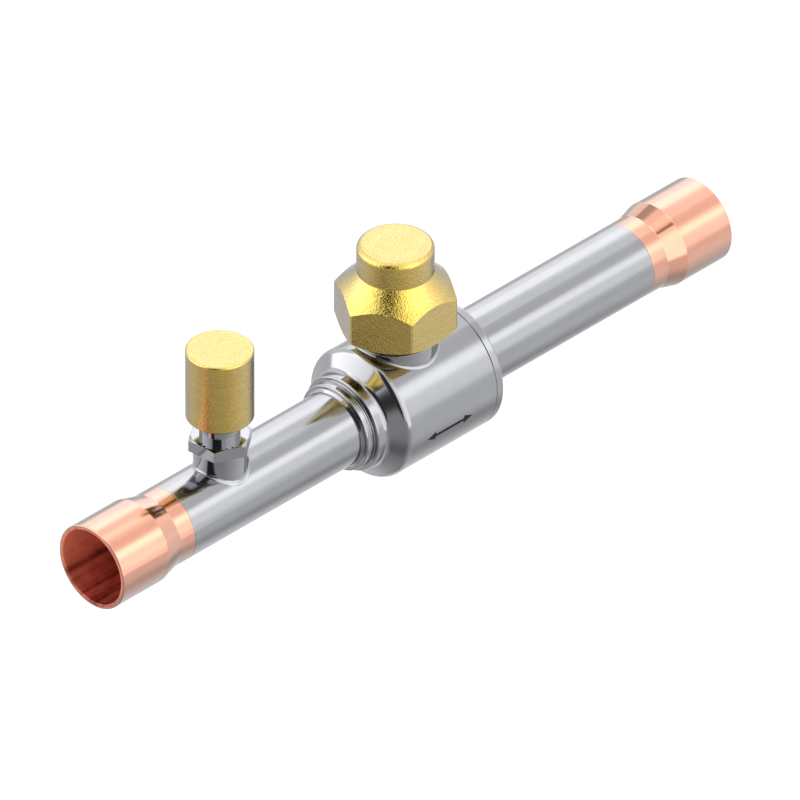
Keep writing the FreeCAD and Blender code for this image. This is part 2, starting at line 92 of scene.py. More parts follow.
# Walls, bores and bends
tube_wall = 1.0
tube_ir = tube_r - tube_wall
lap_wall = 0.5
lap_length = 3.4
socket_wall = 1.0
socket_depth = 12.6
flare_length = 4.3
flare_inner_bend = 1.2
flare_outer_bend = 0.9
mouth_round = 0.25
lap_round = 0.08
barrel_wall = 2.0
cavity_r = barrel_r - barrel_wall
seam_chamfer = 0.12
edge_round = 0.35

# Inlet end: the barrel's rounded rim, a conical face down to the hub, and a sleeve on the tube
rim_drop = 0.82
rim_round = 1.7
face_depth = 1.85
face_foot_round = 1.4
hub_r = 10.25
hub_length = 2.65
sleeve_r = 9.3
sleeve_weld = 0.5
sleeve_line = 0.74
line_width = 0.16
line_round = 0.05
hub_foot_round = 0.16
sleeve_weld_round = 0.3
rim_r = barrel_r - rim_drop
rim_corner = barrel_low[0] + rim_drop * face_depth / (rim_r - hub_r)
hub_start = barrel_low[0] - face_depth
hub_end = hub_start - hub_length

# Seats and their grooves inside both end pieces, as distances from the stem's axis
seat_pocket_start = 6.23
seat_pocket_r = seat_r + 0.05
seat_pocket_floor = 10.4
seat_lip_r = 7.5
bore_r = 6.5
ring_groove_r = 9.1
ring_groove_depth = 1.6
tube_stop = 13.0

# Flow arrow
arrow_length = 12.5
arrow_head = 2.3
arrow_head_half = 1.0
arrow_shaft_half = 0.33
arrow_x = stem_x + 1.4
arrow_turn = math.radians(188.6)
arrow_step = 0.02
ink_proud = 0.02

# Stem neck
neck_r = 8.5
neck_spigot_r = 7.0
neck_shoulder = 14.7
neck_weld = 0.45
neck_edge_round = 0.12
neck_relief = 1.1
stem_thread_r = 8.0
stem_thread_pitch = 1.5
stem_thread_depth = 0.8
stem_bore_r = 3.55
collar_bore_r = 5.25
stop_pocket_r = 6.0
stop_pocket_half = 0.97

# Seal cap
cap_flats = 2 * cap_high[1]
cap_corner_r = cap_high[0] - stem_x
cap_foot_rise = 1.0
cap_corner_top = cap_low[2] + 7.8
cap_cone_top = cap_corner_top + 5.3
cap_cone_hollow = 0.25
cap_roof = 2.0
cap_button_r = 7.8
cap_top_round = 1.1
cap_crease_round = 0.25
cap_inner_r = 6.2

# Access port
port_base_r = 5.4
port_spigot_r = 3.0
port_weld = 0.65
port_hex_flats = 11.6
port_hex_turn = math.radians(35.6)
port_hex_bottom = 11.9
port_hex_top = 14.6
port_hex_chamfer = 0.35
port_hex_round = 0.08
port_relief_r = 4.1
port_thread_start = 19.5
port_thread_end = 29.6
port_thread_r = 5.555
port_thread_pitch = 1.27
port_thread_depth = 0.66
port_nose_r = 4.7
port_nose_start = 30.2
port_tip_r = 3.3
port_tip_round = 0.12
port_bore_round = 0.1
port_passage_r = 2.1
port_bore_r = 2.67

# Access cap
access_chamfer = 0.35
access_foot_round = 0.3
access_top_round = 0.4
access_thread_start = 1.6
access_thread_end = 0.3

# Valve core spring
spring_wire_r = 0.18
spring_turns = 7
spring_columns = 16
spring_rows_per_turn = 32

# Threads and clearances; the overlap keeps two corners apart where a chamfer runs out
thread_gap = 0.07
female_depth = 0.45
overlap = 0.01

# Oxide inside the copper sockets, with painted light that makes it lighter and less metallic
# towards the top: the heights where it is darkest and lightest, how metallic it is there, and the
# range of its streaks
bore_shaded_z, bore_lit_z = -7.5, -1.5
bore_shaded_metal, bore_lit_metal = 0.6, 0.15
painted_light_share = 0.65
streak_low, streak_high = -0.5, 1.2


# Surfaces

def angles(count, first=0.0):
    """Evenly spaced angles round a full turn, from the first one."""
    return first + np.linspace(0, 2 * math.pi, count, endpoint=False)


def unit(v):
    """Vectors of length one."""
    return v / np.linalg.norm(v, axis=-1, keepdims=True)


def section(items, count, steps=6, hold=0.15):
    """Rows of points along a section, one column per angle.

    An item is a corner (a, b), a corner (a, b, radius) that a true arc rounds, or rows that are
    already made. Values may differ from column to column. A row just before and just after each
    arc, hold away but within 0.4 of the flat's length, keeps the flats flat in the light."""

    def beside(arc_end, along, far):
        room = 0.4 * np.linalg.norm(far - arc_end, axis=-1, keepdims=True)
        return arc_end + along * np.minimum(hold, room)

    made = []
    for item in items:
        if isinstance(item, np.ndarray):
            made.append(item)
            continue
        pair = np.broadcast_arrays(*[np.asarray(v, float) for v in item[:2]], np.zeros(count))
        made.append(np.stack(pair[:2], -1)[None])
    rows = []
    for i, item in enumerate(items):
        if isinstance(item, np.ndarray) or len(item) == 2:
            rows.extend(made[i])
            continue
        here = made[i][0]
        before, after = made[i - 1][-1], made[(i + 1) % len(made)][0]
        back, ahead = unit(before - here), unit(after - here)
        half = np.arccos(np.clip((back * ahead).sum(-1, keepdims=True), -1, 1)) / 2
        run = item[2] / np.tan(half)
        centre = here + unit(back + ahead) * item[2] / np.sin(half)
        start, end = here + back * run, here + ahead * run
        first, last = (start - centre) / item[2], (end - centre) / item[2]
        bend = math.pi - 2 * half
        rows.append(beside(start, back, before))
        for t in np.linspace(0, 1, steps + 1):
            spoke = (np.sin((1 - t) * bend) * first + np.sin(t * bend) * last) / np.sin(bend)
            rows.append(centre + spoke * item[2])
        rows.append(beside(end, ahead, after))
    return np.array(rows)


def hollow_curve(start, corner, end, steps=7):
    """Rows of the parabola from start to end that bends towards the corner."""
    start, corner, end = [np.stack(np.broadcast_arrays(*p), -1) for p in (start, corner, end)]
    t = np.linspace(0, 1, steps)[:, None, None]
    return (1 - t) ** 2 * start + 2 * t * (1 - t) * corner + t**2 * end


def round_pipe(rows, turns):
    """Points at (distance along the pipe, radius) turned about the pipe's axis."""
    a, r = rows[..., 0], rows[..., 1]
    return np.stack([a, r * np.cos(turns), r * np.sin(turns)], -1)


def round_upright(rows, turns, x):
    """Points at (radius, height) turned about an upright axis at x."""
    r, z = rows[..., 0], rows[..., 1]
    return np.stack([x + r * np.cos(turns), r * np.sin(turns), z], -1)


def grid_faces(rows, columns, ring):
    """Four-sided faces of a grid that closes round its columns, and round its rows if ring."""
    i = np.arange(rows if ring else rows - 1)[:, None]
    j = np.arange(columns)[None, :]
    low, high = i * columns, (i + 1) % rows * columns
    right = (j + 1) % columns
    return np.stack([low + j, low + right, high + right, high + j], -1).reshape(-1, 4)


def skin(name, points, material, body, replaced=(), ring=True, sharp=32):
    """Mesh over a grid of points in millimetres, with doubled points merged and faces outward.

    The signed volume, a sixth of the sum of the corners' triple products, tells whether the
    faces have to be turned round. A face that loses one corner in the merge is a triangle."""
    grid = points.reshape(-1, 3) * mm
    quads = grid_faces(points.shape[0], points.shape[1], ring)
    a, b, c, d = (grid[quads[:, k]] for k in range(4))
    volume = (a * np.cross(b, c)).sum() + (a * np.cross(c, d)).sum()
    if volume < 0:
        quads = quads[:, ::-1]
    merge_within = 1e-4 * mm
    _, kept, number = np.unique(np.round(grid / merge_within).astype(int), axis=0,
                                return_index=True, return_inverse=True)
    faces = number.reshape(-1)[quads]
    faces = faces[(faces[:, 0] != faces[:, 2]) & (faces[:, 1] != faces[:, 3])]
    doubled = faces == np.roll(faces, 1, axis=1)
    lost = doubled.sum(1)
    triangles = faces[lost == 1][~doubled[lost == 1]].reshape(-1, 3)
    mesh = bpy.data.meshes.new(name)
    mesh.from_pydata(grid[kept].tolist(), [], faces[lost == 0].tolist() + triangles.tolist())
    mesh.polygons.foreach_set("use_smooth", np.ones(len(mesh.polygons), bool))
    mesh.set_sharp_from_angle(angle=math.radians(sharp))
    mesh.materials.append(material)
    piece = bpy.data.objects.new(name, mesh)
    bpy.context.scene.collection.objects.link(piece)
    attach(piece, body)
    if replaced:
        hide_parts(*replaced)
    return piece


def saddle(r, main_r, turns):
    """Height at which an upright circle of radius r meets a lying cylinder of radius main_r."""
    return np.sqrt(main_r**2 - (r * np.sin(turns)) ** 2)


def weld_rows(foot_r, leg, main_r, turns):
    """Hollow fillet with two equal legs, from a lying cylinder up to the round foot on it."""
    foot = saddle(foot_r, main_r, turns)
    return hollow_curve((foot_r + leg, saddle(foot_r + leg, main_r, turns)),
                        (foot_r, foot), (foot_r + 0 * foot, foot + leg))


def thread_rows(bottom, top, crest_r, depth, pitch, turns, outward=1.0):
    """Rows of a right-hand thread between two heights, its radius a flattened cosine wave.

    The wave's phase is the height in pitches less the angle in turns, and its depth fades out
    over the last half pitch at each end."""
    rows_per_pitch = 22
    steps = int((top - bottom) / pitch * rows_per_pitch)
    z = np.linspace(bottom, top, steps)[:, None]
    wave = np.clip(0.5 + 0.75 * np.cos(2 * math.pi * (z / pitch) - turns), 0, 1)
    fade = np.clip(np.minimum(z - bottom, top - z) / (0.5 * pitch), 0, 1)
    r = crest_r - outward * depth * (1 - wave) * fade
    return np.stack([r, z + 0 * turns], -1)


def hexagon_radius(turns, flats, first_corner=0.0, softness=220):
    """Distance to a hexagon's flats, with its corners eased by a high power mean of the six."""
    middles = first_corner + math.pi / 6 + np.arange(6)[:, None] * math.pi / 3
    facing = np.clip(np.cos(turns[None, :] - middles), 0, 1)
    return flats / 2 / (facing**softness).sum(0) ** (1 / softness)


# Shader helpers

def add(tree, kind, inputs=(), **settings):
    """New shader node with its settings, and with each named input set or linked."""
    made = tree.nodes.new(kind)
    for key, value in settings.items():
        setattr(made, key, value)
    for key, value in dict(inputs).items():
        if isinstance(value, bpy.types.NodeSocket):
            tree.links.new(value, made.inputs[key])
        else:
            made.inputs[key].default_value = value
    return made


def new_group(name, inputs, outputs):
    """Empty shader group; inputs and outputs are (name, socket type, default) rows."""
    tree = bpy.data.node_groups.new(name, "ShaderNodeTree")
    for label, kind, value in inputs:
        socket = tree.interface.new_socket(label, in_out="INPUT", socket_type=kind)
        if value is not None:
            socket.default_value = value
    for label, kind in outputs:
        tree.interface.new_socket(label, in_out="OUTPUT", socket_type=kind)
    return tree, tree.nodes.new("NodeGroupInput").outputs, tree.nodes.new("NodeGroupOutput").inputs


def math_node(tree, operation, a, b=0.0, c=0.0):
    """Result of a sum on numbers or sockets."""
    return add(tree, "ShaderNodeMath", {0: a, 1: b, 2: c}, operation=operation).outputs[0]


def share_of(tree, first, share, second):
    """The first value's share, and the second value for the rest."""
    rest = math_node(tree, "MULTIPLY", second, 1 - share)
    return math_node(tree, "MULTIPLY_ADD", first, share, rest)


def noise(tree, vector, scale, detail=2.0, roughness=0.5):
    """Cloudy noise around one half, its scale in waves per metre."""
    made = add(tree, "ShaderNodeTexNoise", {"Vector": vector, "Scale": scale, "Detail": detail,
                                            "Roughness": roughness})
    return made.outputs["Fac"]


def bump(tree, height, distance, **under):
    """Normal of a surface that a height from 0 to 1 raises by a distance in metres."""
    return add(tree, "ShaderNodeBump", {"Strength": 1.0, "Distance": distance, "Height": height,
                                        **under}).outputs[0]


def fine_lines_group():
    """Tool or drawing lines: noise squeezed across the lines and stretched along them.

    Across is how much finer the pattern is in each direction, per metre."""
    tree, inputs, outputs = new_group(
        "fine_lines",
        [("Vector", "NodeSocketVector", None), ("Across", "NodeSocketVector", (1, 1, 1))],
        [("Lines", "NodeSocketFloat"), ("Bands", "NodeSocketFloat")],
    )
    spread = add(tree, "ShaderNodeVectorMath", {0: inputs["Vector"], 1: inputs["Across"]},
                 operation="MULTIPLY").outputs[0]
    tree.links.new(noise(tree, spread, 1.0, 3.0, 0.6), outputs["Lines"])
    tree.links.new(noise(tree, spread, 0.22, 1.0), outputs["Bands"])
    return tree


def handling_group():
    """Faint cloudy marks of handling and cleaning: broad clouds with finer ones inside."""
    tree, inputs, outputs = new_group(
        "handling_marks",
        [("Vector", "NodeSocketVector", None), ("Size", "NodeSocketFloat", 90.0)],
        [("Clouds", "NodeSocketFloat")],
    )
    broad = noise(tree, inputs["Vector"], inputs["Size"], 4.0, 0.55)
    fine_size = math_node(tree, "MULTIPLY", inputs["Size"], 5.0)
    fine = noise(tree, inputs["Vector"], fine_size, 1.0)
    tree.links.new(share_of(tree, fine, 0.3, broad), outputs["Clouds"])
    return tree


def grain_group():
    """Orange-peel grain of pressed brass: round soft lumps with finer ones on top."""
    tree, inputs, outputs = new_group(
        "pressed_grain",
        [("Vector", "NodeSocketVector", None), ("Size", "NodeSocketFloat", 2200.0)],
        [("Height", "NodeSocketFloat"), ("Speckle", "NodeSocketFloat")],
    )
    lumps = noise(tree, inputs["Vector"], inputs["Size"], 2.5, 0.62)
    fine_size = math_node(tree, "MULTIPLY", inputs["Size"], 2.3)
    fine = noise(tree, inputs["Vector"], fine_size, 1.0)
    tree.links.new(share_of(tree, fine, 0.3, lumps), outputs["Height"])
    tree.links.new(fine, outputs["Speckle"])
    return tree


fine_lines = fine_lines_group()
handling_marks = handling_group()
pressed_grain = grain_group()


def place_group(tree, group, inputs):
    """Outputs of an effect's group, placed with its own inputs."""
    return add(tree, "ShaderNodeGroup", inputs, node_tree=group).outputs


def start_material(name):
    """New material with its shader, and the Object coordinates for its patterns."""
    material = bpy.data.materials.new(name)
    material.use_nodes = True
    tree = material.node_tree
    tree.nodes.clear()
    shader = add(tree, "ShaderNodeBsdfPrincipled")
    add(tree, "ShaderNodeOutputMaterial", {"Surface": shader.outputs[0]})
    place = add(tree, "ShaderNodeTexCoord").outputs["Object"]
    return material, tree, shader, place


def blend_colours(tree, mask, first, second):
    """Mix of two colours, each one a socket or three numbers."""
    first, second = (colour if isinstance(colour, bpy.types.NodeSocket) else (*colour, 1)
                     for colour in (first, second))
    mix = add(tree, "ShaderNodeMix", {0: mask, 6: first, 7: second}, data_type="RGBA")
    return mix.outputs[2]


def colour_ramp(tree, value, stops):
    """Colours that follow a value from 0 to 1, through (place, colour) stops."""
    made = add(tree, "ShaderNodeValToRGB", {0: value})
    marks = made.color_ramp.elements
    while len(marks) < len(stops):
        marks.new(1.0)
    for mark, (place, colour) in zip(marks, stops):
        mark.position, mark.color = place, (*colour, 1)
    return made.outputs[0]


def between(tree, value, low, high):
    """The value's middle range, 0.3 to 0.7, spread from low to high."""
    made = add(tree, "ShaderNodeMapRange", {0: value, 1: 0.3, 2: 0.7, 3: low, 4: high})
    return made.outputs[0]


def axis_place(tree, place, centre):
    """Coordinates (distance along an axis, distance from it, 0).

    centre is None for the pipe's axis, or the x of an upright axis in metres."""
    parts = add(tree, "ShaderNodeSeparateXYZ", {0: place}).outputs
    if centre is None:
        along, left, right = parts[0], parts[1], parts[2]
    else:
        along, left, right = parts[2], math_node(tree, "SUBTRACT", parts[0], centre), parts[1]
    across = add(tree, "ShaderNodeCombineXYZ", {0: left, 1: right}).outputs[0]
    radius = add(tree, "ShaderNodeVectorMath", {0: across}, operation="LENGTH").outputs["Value"]
    return add(tree, "ShaderNodeCombineXYZ", {0: along, 1: radius}).outputs[0]


def inside_wall(tree, vector):
    """1 on the inner side of the copper sockets' wall: less than half way through it, where the
    middle of the wall narrows with the flare, by the distance from the pipe's middle."""
    middle = (outlet_mouth + inlet_mouth) / 2
    flare_end = outlet_mouth - middle - socket_depth
    along, radius = add(tree, "ShaderNodeSeparateXYZ", {0: vector}).outputs[:2]
    away = math_node(tree, "ABSOLUTE", math_node(tree, "SUBTRACT", along, middle * mm))
    half_way = add(tree, "ShaderNodeMapRange", {
        0: away, 1: (flare_end - flare_length) * mm, 2: flare_end * mm,
        3: (tube_ir + lap_wall) * mm, 4: (socket_r - socket_wall / 2) * mm}).outputs[0]
    return math_node(tree, "LESS_THAN", radius, half_way)


edge_tint = (0.75, 0.75, 0.75)


def metal(name, tones_and_painted_light, smooth, dull, across, line_height, cloud_size=90.0, mottle=0.16,
          centre=None, turned=False, grain=0.0, grain_size=3000.0, speckle=0.13, bore=None):
    """Bare or plated metal: a colour from edge-on to face-on, with painted shade edge-on and, for
    brass, painted highlights near face-on, tool lines of the given height in metres, handling
    marks, gloss that varies between smooth and dull, and an orange-peel grain if asked. A bore, as
    (dark tint, light tint, added dullness), is a socket's inner side, where oxide lies in streaks
    and painted light makes it lighter and less metallic towards the top."""
    material, tree, shader, place = start_material(name)
    vector = axis_place(tree, place, centre) if turned or bore else place
    pattern = vector if turned else place
    lines = place_group(tree, fine_lines, {"Vector": pattern, "Across": across})
    marks = place_group(tree, handling_marks, {"Vector": place, "Size": cloud_size})
    normal = bump(tree, lines["Lines"], line_height)
    if grain:
        lumps = place_group(tree, pressed_grain, {"Vector": place, "Size": grain_size})
        normal = bump(tree, lumps["Height"], grain, Normal=normal)
    tree.links.new(normal, shader.inputs["Normal"])
    # Colour by how squarely a face meets the view: painted shade edge-on, and with the brass tones
    # painted highlights near face-on
    weight = add(tree, "ShaderNodeLayerWeight", {"Blend": 0.5, "Normal": normal})
    facing_for_painted_light = math_node(tree, "SUBTRACT", 1.0, weight.outputs["Facing"])
    tone = math_node(tree, "ADD", lines["Bands"], marks["Clouds"])
    shade = math_node(tree, "MULTIPLY_ADD", tone, mottle, 1 - mottle)
    if grain:
        flecks = between(tree, lumps["Height"], 1 - speckle, 1 + speckle)
        shade = math_node(tree, "MULTIPLY", shade, flecks)
    colour = add(tree, "ShaderNodeVectorMath", {0: colour_ramp(tree, facing_for_painted_light, tones_and_painted_light), 3: shade},
                 operation="SCALE").outputs[0]
    rough = between(tree, share_of(tree, lines["Lines"], 0.6, marks["Clouds"]), smooth, dull)
    if bore:
        dark, light, added_dullness = bore
        within = inside_wall(tree, vector)
        # Painted light: between the two heights the bore turns from dark oxide to a lighter, less
        # metallic wall towards the top; the streaks are the oxide's own
        height = add(tree, "ShaderNodeSeparateXYZ", {0: place}).outputs[2]
        thin = add(tree, "ShaderNodeMapRange", {
            0: height, 1: bore_shaded_z * mm, 2: bore_lit_z * mm}).outputs[0]
        mixed = share_of(tree, lines["Bands"], 0.5, marks["Clouds"])
        streaks = between(tree, mixed, streak_low, streak_high)
        tint = math_node(tree, "MULTIPLY_ADD", thin, painted_light_share, streaks)
        colour = blend_colours(tree, within, colour, blend_colours(tree, tint, dark, light))
        rough = math_node(tree, "MULTIPLY_ADD", within, added_dullness, rough)
        clean = math_node(tree, "SUBTRACT", 1.0, within)
        less_metal = bore_lit_metal - bore_shaded_metal
        oxidised = math_node(tree, "MULTIPLY_ADD", thin, less_metal, bore_shaded_metal)
        tree.links.new(math_node(tree, "MAXIMUM", clean, oxidised), shader.inputs["Metallic"])
    else:
        shader.inputs["Metallic"].default_value = 1.0
    tree.links.new(colour, shader.inputs["Base Color"])
    tree.links.new(rough, shader.inputs["Roughness"])
    shader.inputs["Specular Tint"].default_value = (*edge_tint, 1)
    return material


def soft_material(name, dark, light, smooth, dull, size, height, sheen=0.5):
    """Moulded rubber or polymer: cloudy tone and a fine skin texture."""
    material, tree, shader, place = start_material(name)
    marks = place_group(tree, handling_marks, {"Vector": place, "Size": 300.0})
    skin_grain = place_group(tree, pressed_grain, {"Vector": place, "Size": size})
    tree.links.new(blend_colours(tree, between(tree, marks["Clouds"], 0, 1), dark, light),
                   shader.inputs["Base Color"])
    tree.links.new(between(tree, skin_grain["Speckle"], smooth, dull), shader.inputs["Roughness"])
    tree.links.new(bump(tree, skin_grain["Height"], height), shader.inputs["Normal"])
    shader.inputs["Specular IOR Level"].default_value = sheen
    return material


# Finishes

# Waves per metre of the tool lines: along the pipe, or along an axis and out from it
lengthwise = (60.0, 2600.0, 2600.0)
ringed = (3000.0, 1500.0, 1.0)
at_stem = {"centre": stem_x * mm, "turned": True}
at_port = {"centre": port_x * mm, "turned": True}

# Tones from edge-on, 0, to face-on, 1; the copper and brass tones paint shade edge-on, and the
# brass ones paint highlights a little short of face-on
plate_grey = (0.42, 0.425, 0.445)
steel_grey = (0.40, 0.395, 0.39)
plate_tones = [(0.0, plate_grey), (1.0, plate_grey)]
steel_tones = [(0.0, steel_grey), (1.0, steel_grey)]
copper_colour_and_painted_shade = [
    (0.0, (0.24, 0.36, 0.38)),
    (0.85, (1.0, 0.47, 0.32)),
    (1.0, (1.0, 0.475, 0.31)),
]
brass_colour_and_painted_light = [
    (0.0, (0.22, 0.22, 0.25)),
    (0.21, (0.33, 0.30, 0.235)),
    (0.58, (0.69, 0.545, 0.225)),
    (0.80, (0.78, 0.52, 0.165)),
    (0.88, (1.0, 0.79, 0.19)),
    (0.95, (1.0, 0.76, 0.155)),
    (1.0, (0.98, 0.66, 0.14)),
]
# Dark and light oxide tints and the added dullness; the light tint also carries painted light on
# the bores' upper side
copper_oxide_and_painted_light = ((0.24, 0.045, 0.03), (1.0, 0.30, 0.19), 0.10)

tube_plate = metal("plated_tube", plate_tones, 0.10, 0.17, lengthwise, 1.2e-6)
turned_plate = metal("plated_turned_body", plate_tones, 0.07, 0.12, ringed, 0.4e-6,
                     mottle=0.06, turned=True)
neck_plate = metal("plated_neck", plate_tones, 0.07, 0.12, ringed, 0.6e-6, **at_stem)
port_plate = metal("plated_port", plate_tones, 0.05, 0.10, ringed, 0.5e-6, **at_port)
ball_plate = metal("polished_ball", plate_tones, 0.04, 0.08, ringed, 0.2e-6)
stem_steel = metal("machined_steel", steel_tones, 0.20, 0.32, ringed, 1.5e-6, **at_stem)
copper = metal("drawn_copper", copper_colour_and_painted_shade, 0.10, 0.16, lengthwise, 1.2e-6, bore=copper_oxide_and_painted_light)
seal_brass = metal("pressed_brass", brass_colour_and_painted_light, 0.10, 0.15, ringed, 0.5e-6,
                   grain=1.4e-4, grain_size=2300.0, speckle=0.09, **at_stem)
port_brass = metal("fine_pressed_brass", brass_colour_and_painted_light, 0.12, 0.18, ringed, 0.5e-6,
                   grain=0.9e-4, grain_size=3000.0, **at_port)
core_brass = metal("machined_brass", brass_colour_and_painted_light, 0.16, 0.26, ringed, 1.0e-6, **at_port)

seat_polymer = soft_material("seat_polymer", (0.72, 0.71, 0.68), (0.80, 0.79, 0.76),
                             0.35, 0.5, 2500.0, 4e-6)
ring_rubber = soft_material("ring_rubber", (0.018, 0.018, 0.02), (0.03, 0.03, 0.032),
                            0.4, 0.6, 3000.0, 5e-6)
arrow_ink = soft_material("arrow_ink", (0.006, 0.006, 0.007), (0.014, 0.014, 0.016),
                          0.5, 0.65, 5000.0, 2e-6, sheen=0.2)


# Pipe run

def copper_socket(name, side):
    """Flared solder end, side +1 at the outlet and -1 at the inlet: a closed section turned
    about the pipe, from the lap over the steel tube to the rounded mouth."""
    turns = angles(tube_columns)
    low, high = box(name)
    tail, mouth = (low[0], high[0]) if side > 0 else (high[0], low[0])
    flare_end = mouth - side * socket_depth
    flare_start = flare_end - side * flare_length
    lap_r = tube_ir + lap_wall
    rows = section([
        (tail, lap_r),
        (tail, tube_r, lap_round),
        (flare_start, tube_r, flare_inner_bend),
        (flare_end, socket_r, flare_outer_bend),
        (mouth, socket_r, mouth_round),
        (mouth, socket_r - socket_wall, mouth_round),
        (flare_end, socket_r - socket_wall),
        (flare_start, tube_ir),
        (tail + side * lap_length, tube_ir),
        (tail + side * lap_length, lap_r),
    ], len(turns), steps=10)
    skin(name, round_pipe(rows, turns), copper, "valve_line", [name])


def steel_tube(name, side):
    """Plain tube with a turned-down spigot that the copper laps."""
    turns = angles(tube_columns)
    low, high = box(name)
    stop, tip = (low[0], high[0]) if side > 0 else (high[0], low[0])
    tail = tip - side * lap_length
    lap_r = tube_ir + lap_wall
    rows = section([
        (stop, tube_ir),
        (stop, tube_r),
        (tail, tube_r, lap_round),
        (tail, lap_r),
        (tip, lap_r),
        (tip, tube_ir),
    ], len(turns))
    skin(name, round_pipe(rows, turns), tube_plate, "valve_line", [name])


def end_piece_inside(side):
    """Corners of an end piece's inner wall from the tube's socket back to the cavity."""
    groove_floor = seat_pocket_floor + ring_groove_depth
    corners = [
        (tube_stop, tube_r), (tube_stop, bore_r),
        (seat_pocket_floor, bore_r), (seat_pocket_floor, seat_lip_r),
        (groove_floor, seat_lip_r), (groove_floor, ring_groove_r),
        (seat_pocket_floor, ring_groove_r), (seat_pocket_floor, seat_pocket_r),
        (seat_pocket_start, seat_pocket_r), (seat_pocket_start, cavity_r),
    ]
    return [(stem_x + side * a, r) for a, r in corners]


def inlet_end_piece():
    """Turned end: a steep conical face, a hub, and a lined sleeve with a weld on the tube."""
    turns = angles(body_columns)
    sleeve_end = inlet_sleeve_tip + sleeve_weld
    line = hub_end - sleeve_line
    rows = section([
        *end_piece_inside(-1),
        (barrel_low[0], cavity_r),
        (barrel_low[0], rim_r),
        (hub_start, hub_r, face_foot_round),
        (hub_end, hub_r, edge_round),
        (hub_end, sleeve_r, hub_foot_round),
        (line, sleeve_r, line_round),
        (line - line_width / 2, sleeve_r - line_width),
        (line - line_width, sleeve_r, line_round),
        (sleeve_end, sleeve_r, edge_round),
        (sleeve_end, tube_r + sleeve_weld, sleeve_weld_round),
        (inlet_sleeve_tip, tube_r),
    ], len(turns))
    skin("inlet_end_piece", round_pipe(rows, turns), turned_plate, "valve_line",
         ["inlet_end_piece"])


def outlet_end_piece():
    """Turned plug whose flange shows past the barrel's seam."""
    turns = angles(body_columns)
    seam = barrel_high[0]
    rows = section([
        *end_piece_inside(1),
        (seam, cavity_r),
        (seam, barrel_r - seam_chamfer),
        (seam + seam_chamfer, barrel_r),
        (outlet_flange_face, barrel_r, edge_round),
        (outlet_flange_face, tube_r),
    ], len(turns))
    skin("outlet_end_piece", round_pipe(rows, turns), turned_plate, "valve_line",
         ["outlet_end_piece"])


def valve_barrel():
    """Round body with a rounded inlet rim and a fine chamfer at the seam."""
    turns = angles(body_columns)
    rows = section([
        (barrel_low[0], cavity_r),
        (barrel_low[0], rim_r),
        (rim_corner, barrel_r, rim_round),
        (barrel_high[0] - seam_chamfer, barrel_r),
        (barrel_high[0], barrel_r - seam_chamfer),
        (barrel_high[0], cavity_r),
    ], len(turns), steps=10)
    skin("valve_barrel", round_pipe(rows, turns), turned_plate, "valve_line",
         ["valve_barrel"])


def flow_arrow():
    """Double-headed arrow printed on the barrel: a half width for each place along it, laid round
    the barrel as an angle, width over radius, as a thin closed skin of ink."""
    tip, neck, step = arrow_length / 2, arrow_length / 2 - arrow_head, arrow_step
    along = np.array([-tip, -neck, step - neck, neck - step, neck, tip])[:, None]
    half = np.array([0, arrow_head_half, arrow_shaft_half, arrow_shaft_half, arrow_head_half, 0])
    across = np.linspace(-1, 1, 13)
    sides = np.concatenate([across, across[::-1]])
    radius = np.repeat([barrel_r + ink_proud, barrel_r - ink_proud], len(across))
    turns = arrow_turn + sides * half[:, None] / barrel_r
    points = np.stack([arrow_x + along + 0 * sides, radius * np.cos(turns),
                       radius * np.sin(turns)], -1)
    skin("flow_arrow", points, arrow_ink, "valve_line", ring=False)


# Neck and seal cap

def stem_neck():
    """Neck on the barrel: weld fillet, shoulder, relief, cap thread, and the quarter-turn recess
    for the stop pin. The recess's outline is a radius that changes with the angle: half the
    pin's slot over the sine of the angle past the quarter turn, between the bore and the
    recess's own radius."""
    recess_start, recess_end = math.pi / 2, math.pi
    turns = np.unique(np.concatenate([angles(neck_columns), [recess_start, recess_end]]))
    past = np.maximum(np.maximum(recess_start - turns, turns - recess_end), 1e-4)
    edge = stop_pocket_half / np.sin(np.minimum(past, math.pi / 2))
    far_side = (turns > 1.5 * math.pi) | (turns < 0.25)
    reach = np.where(far_side, stem_bore_r, np.clip(edge, stem_bore_r, stop_pocket_r))
    pocket_floor = stop_pin_bottom - thread_gap
    relief_r = stem_thread_r - stem_thread_depth / 2
    thread = thread_rows(neck_shoulder + neck_relief, neck_top - edge_round, stem_thread_r,
                         stem_thread_depth, stem_thread_pitch, turns)
    rows = section([
        (collar_bore_r, saddle(collar_bore_r, cavity_r, turns)),
        (neck_spigot_r, saddle(neck_spigot_r, cavity_r, turns)),
        (neck_spigot_r, saddle(neck_spigot_r, barrel_r, turns)),
        weld_rows(neck_r, neck_weld, barrel_r, turns),
        (neck_r, neck_shoulder, neck_edge_round),
        (relief_r, neck_shoulder),
        (relief_r, neck_shoulder + neck_relief),
        thread,
        (stem_thread_r - edge_round, neck_top),
        (reach, neck_top),
        (reach, pocket_floor),
        (stem_bore_r, pocket_floor),
        (stem_bore_r, thrust_washer_top),
        (collar_bore_r, thrust_washer_top),
    ], len(turns))
    skin("stem_neck", round_upright(rows, turns, stem_x), neck_plate, "valve_line",
         ["stem_neck"])


